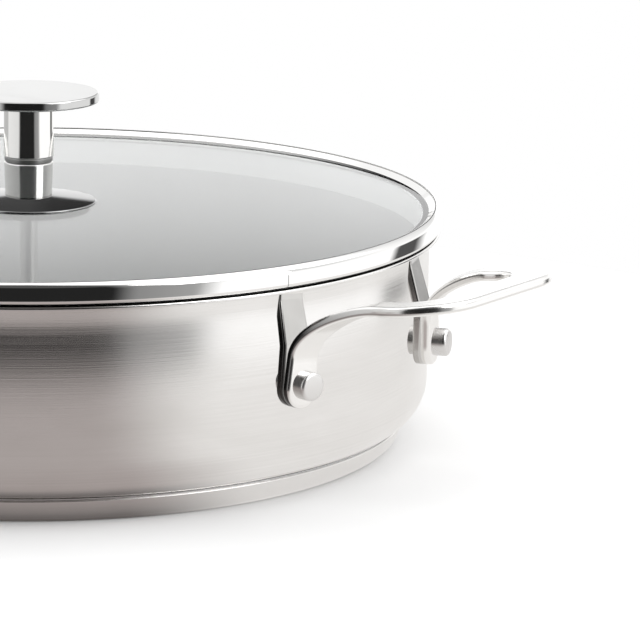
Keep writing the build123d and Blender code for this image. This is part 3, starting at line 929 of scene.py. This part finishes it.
def make_pan_steel():
    """The pan's body: satin and brushed outside, and a rougher satin inside whose darker colour is
    a painted shade in the pan's hollow. The outside is where the wall's middle, carried round the
    corner, is passed."""
    material, tree, shader = new_material("pan_steel")
    shader.inputs["Metallic"].default_value = 1.0
    shader.inputs["Anisotropic"].default_value = pan_spread
    brushing = use_group(tree, brushing_group)
    _, radius, height = axis_parts(tree)
    past_corner = math_node(tree, "MAXIMUM", math_node(
        tree, "SUBTRACT", radius, (wall_radius - corner_radius) * millimetre), 0.0)
    below_corner = math_node(tree, "MINIMUM", math_node(
        tree, "SUBTRACT", height, (body_floor + corner_radius) * millimetre), 0.0)
    off_centre = math_node(tree, "SQRT", math_node(
        tree, "ADD", math_node(tree, "MULTIPLY", past_corner, past_corner),
        math_node(tree, "MULTIPLY", below_corner, below_corner)))
    wall_middle = (corner_radius - wall / 2) * millimetre
    outside = math_node(tree, "GREATER_THAN", off_centre, wall_middle)
    clouds = range_node(tree, brushing["Clouds"], 0.25, 0.75, 0.0, 1.0)
    streaks = range_node(tree, brushing["Lines"], 0.3, 0.7, -0.25, 0.25)
    wall_shade = mix_colours(tree, math_node(tree, "ADD", clouds, streaks, clamp=True),
                             pan_wall_dark, pan_wall_light)
    # inside the wall's middle the colour is the painted shade of the pan's hollow
    feed(tree, mix_colours(tree, outside, pan_inside_painted_shade, wall_shade), shader.inputs["Base Color"])
    satin = range_node(tree, brushing["Lines"], 0.3, 0.7, *pan_gloss)
    inside = math_node(tree, "SUBTRACT", 1.0, outside)
    rougher = math_node(tree, "MULTIPLY", inside, pan_inside_rougher)
    feed(tree, math_node(tree, "ADD", rougher, satin), shader.inputs["Roughness"])
    lines = math_node(tree, "MULTIPLY", brushing["Lines"], outside)
    add_bump(tree, shader, lines, 0.1, 0.00005)
    tangent = add_node(tree, "ShaderNodeTangent", direction_type="RADIAL", axis="Z")
    feed(tree, tangent.outputs[0], shader.inputs["Tangent"])
    return material


def make_handle_steel(name, dark, light):
    """The handles' and brackets' steel: softly polished, with a near black painted shade on the
    outer side faces of the legs and brackets, fading out towards the top."""
    material, tree, shader = new_material(name)
    shader.inputs["Metallic"].default_value = 1.0
    haze = use_group(tree, haze_group, Cloud_Scale=90.0)
    outer = add_node(tree, "ShaderNodeAttribute", attribute_name="outer_side").outputs["Fac"]
    _, _, height = axis_parts(tree)
    top = [level * millimetre for level in painted_shade_top]
    # painted shade on the outer side faces, fading out between the two heights
    side_shade_mask = math_node(tree, "MULTIPLY", range_node(tree, outer, *painted_shade_side, 0.0, 1.0),
                        range_node(tree, height, *top, 1.0, 0.0))
    face = mix_colours(tree, haze["Clouds"], (*dark, 1), (*light, 1))
    feed(tree, mix_colours(tree, side_shade_mask, face, side_painted_shade), shader.inputs["Base Color"])
    feed(tree, range_node(tree, haze["Clouds"], 0.3, 0.7, *handle_gloss),
         shader.inputs["Roughness"])
    add_bump(tree, shader, haze["Scuffs"], 0.08, 0.00003)
    return material


def make_rim_steel():
    """The rim's mirror steel: a black painted shadow in the gap above the pan's lip, matt with a
    lighter painted light on the skirt inside the pan, and with a fine seam where the band's ends
    meet."""
    material, tree, shader = new_material("rim_steel")
    shader.inputs["Metallic"].default_value = 1.0
    haze = use_group(tree, haze_group)
    angle, radius, height = axis_parts(tree)
    bright = mix_colours(tree, haze["Clouds"], rim_dark, rim_light)
    crack_middle = (lip_height + rim_underside) / 2 * millimetre
    off_crack = math_node(tree, "ABSOLUTE", math_node(tree, "SUBTRACT", height, crack_middle))
    # painted shadow: black in a band round the gap above the pan's lip
    crack_shadow = math_node(tree, "LESS_THAN", off_crack, crack_half_width * millimetre)
    turned_off = math_node(tree, "ABSOLUTE", math_node(tree, "SUBTRACT", angle, seam_angle))
    off_seam = math_node(tree, "MULTIPLY", turned_off, radius)
    seam = range_node(tree, off_seam, 0.0, seam_width * millimetre, 1.0, 0.0, smooth=True)
    above = math_node(tree, "GREATER_THAN", height, rim_underside * millimetre)
    below = math_node(tree, "LESS_THAN", height, seam_top * millimetre)
    seam = math_node(tree, "MULTIPLY", math_node(tree, "MULTIPLY", seam, above), below)
    shade = mix_colours(tree, crack_shadow, bright, crack_painted_shadow)
    # the skirt: matt, with a lighter colour that is painted light
    skirt = range_node(tree, radius, skirt_outer * millimetre,
                       (skirt_outer + 1.0) * millimetre, 1.0, 0.0)
    shade = mix_colours(tree, skirt, shade, skirt_painted_light)
    in_seam = math_node(tree, "MULTIPLY", seam, seam_strength)
    feed(tree, mix_colours(tree, in_seam, shade, seam_shade), shader.inputs["Base Color"])
    gloss = range_node(tree, haze["Clouds"], 0.3, 0.7, *rim_gloss)
    matt = math_node(tree, "MULTIPLY", skirt, skirt_roughness)
    feed(tree, math_node(tree, "MAXIMUM", gloss, matt), shader.inputs["Roughness"])
    sunk = math_node(tree, "MULTIPLY", seam, seam_depth)
    add_bump(tree, shader, math_node(tree, "SUBTRACT", haze["Scuffs"], sunk), 0.05, 0.00002)
    return material


def make_glass():
    """Clear plate glass with the faintest smear in its polish."""
    material, tree, shader = new_material("lid_glass")
    shader.inputs["IOR"].default_value = glass_ior
    shader.inputs["Metallic"].default_value = 0.0
    shader.inputs["Transmission Weight"].default_value = 1.0
    haze = use_group(tree, haze_group, Cloud_Scale=14.0)
    shade_between(tree, shader, haze["Clouds"], (0.93, 0.955, 0.95), (0.95, 0.965, 0.96))
    feed(tree, range_node(tree, haze["Clouds"], 0.4, 0.8, 0.0, 0.012), shader.inputs["Roughness"])
    return material


def make_silicone():
    """Soft grey seal, matt and slightly grained."""
    material, tree, shader = new_material("silicone")
    haze = use_group(tree, haze_group, Cloud_Scale=220.0, Scuff_Scale=3500.0)
    shade_between(tree, shader, haze["Clouds"], (0.36, 0.36, 0.36), (0.44, 0.44, 0.43))
    feed(tree, range_node(tree, haze["Scuffs"], 0.3, 0.7, 0.62, 0.78), shader.inputs["Roughness"])
    add_bump(tree, shader, haze["Scuffs"], 0.2, 0.00004)
    return material


place_camera()
light_the_room()
lay_floor()
add_softbox("back_softbox", (0.9, 1.1, 1.5), aim=(0.15, 0.1, 0.0), size=1.2, power=5)
add_softbox("side_softbox", (1.35, 0.05, 0.85), aim=(0.0, 0.0, 0.0), size=1.0, power=9)
front_softbox = add_softbox("front_softbox", (0.7, -0.95, 1.4), aim=(0.1, -0.15, 0.0), size=1.4,
                            power=12)
front_softbox.visible_glossy = False

brushing_group = make_brushing_group()
haze_group = make_haze_group()
pan_steel = make_pan_steel()
base_steel = make_satin_steel(
    "base_steel", dark=(0.72, 0.71, 0.70), light=(0.78, 0.77, 0.76), gloss=(0.18, 0.26),
    spread=0.45)
mirror_steel = make_polished_steel(
    "mirror_steel", dark=(0.76, 0.755, 0.74), light=(0.82, 0.815, 0.80), gloss=(0.03, 0.07))
handle_steel = make_handle_steel(
    "handle_steel", dark=(0.83, 0.82, 0.805), light=(0.89, 0.88, 0.865))
# darker copy of the handle steel: painted shade on the brackets between the legs and the wall
bracket_painted_shade_steel = make_handle_steel(
    "bracket_painted_shade_steel", dark=(0.51, 0.50, 0.485), light=(0.57, 0.56, 0.545))
rivet_steel = make_polished_steel(
    "rivet_steel", dark=(0.66, 0.65, 0.64), light=(0.72, 0.71, 0.70), gloss=(0.24, 0.32))
rim_steel = make_rim_steel()
# dark flange: a painted reflection of the knob disc's dark underside above it
flange_painted_shade_steel = make_polished_steel(
    "flange_painted_shade_steel", dark=(0.26, 0.26, 0.26), light=(0.32, 0.32, 0.32), gloss=(0.04, 0.08))
disc_steel = make_polished_steel(
    "disc_steel", dark=(0.50, 0.50, 0.495), light=(0.56, 0.56, 0.555), gloss=(0.05, 0.10))
ring_steel = make_polished_steel(
    "ring_steel", dark=(0.24, 0.24, 0.235), light=(0.30, 0.30, 0.295), gloss=(0.3, 0.4))
turned_steel = make_satin_steel(
    "turned_steel", dark=(0.60, 0.59, 0.575), light=(0.66, 0.65, 0.635), gloss=(0.3, 0.4),
    spread=0.3)
core_metal = make_polished_steel(
    "core_metal", dark=(0.70, 0.705, 0.71), light=(0.78, 0.785, 0.79), gloss=(0.4, 0.5))
clear_glass = make_glass()
silicone = make_silicone()

make_pan_shell(pan_steel)
make_base_shell(base_steel)
make_rim_bead(rim_steel)
make_knob({"knob_flange": flange_painted_shade_steel, "knob_lower_stem": mirror_steel, "knob_ring": ring_steel,
           "knob_upper_stem": mirror_steel, "knob_disc": disc_steel})
make_handle("handle_right_strap", 1, handle_steel)
make_handle("handle_left_strap", -1, handle_steel)
for corner, (side, facing) in {"right_rear": (1, 1), "right_front": (-1, 1),
                               "left_front": (1, -1), "left_rear": (-1, -1)}.items():
    make_bracket(corner, side, facing, bracket_painted_shade_steel)
    make_rivet(corner, side, facing, rivet_steel)

# The solids that stay: only the glass shows in the gloss of the others
for name, obj in nodes.items():
    obj.visible_glossy = name == "lid_glass"
    if name == "lid_glass":
        wear(obj, clear_glass)
    elif name in ("knob_washer", "screw_seal"):
        wear(obj, silicone)
    elif name == "base_core":
        wear(obj, core_metal)
    else:
        wear(obj, turned_steel)

view = bpy.context.scene.view_settings
view.view_transform = "Standard"
view.look = "None"
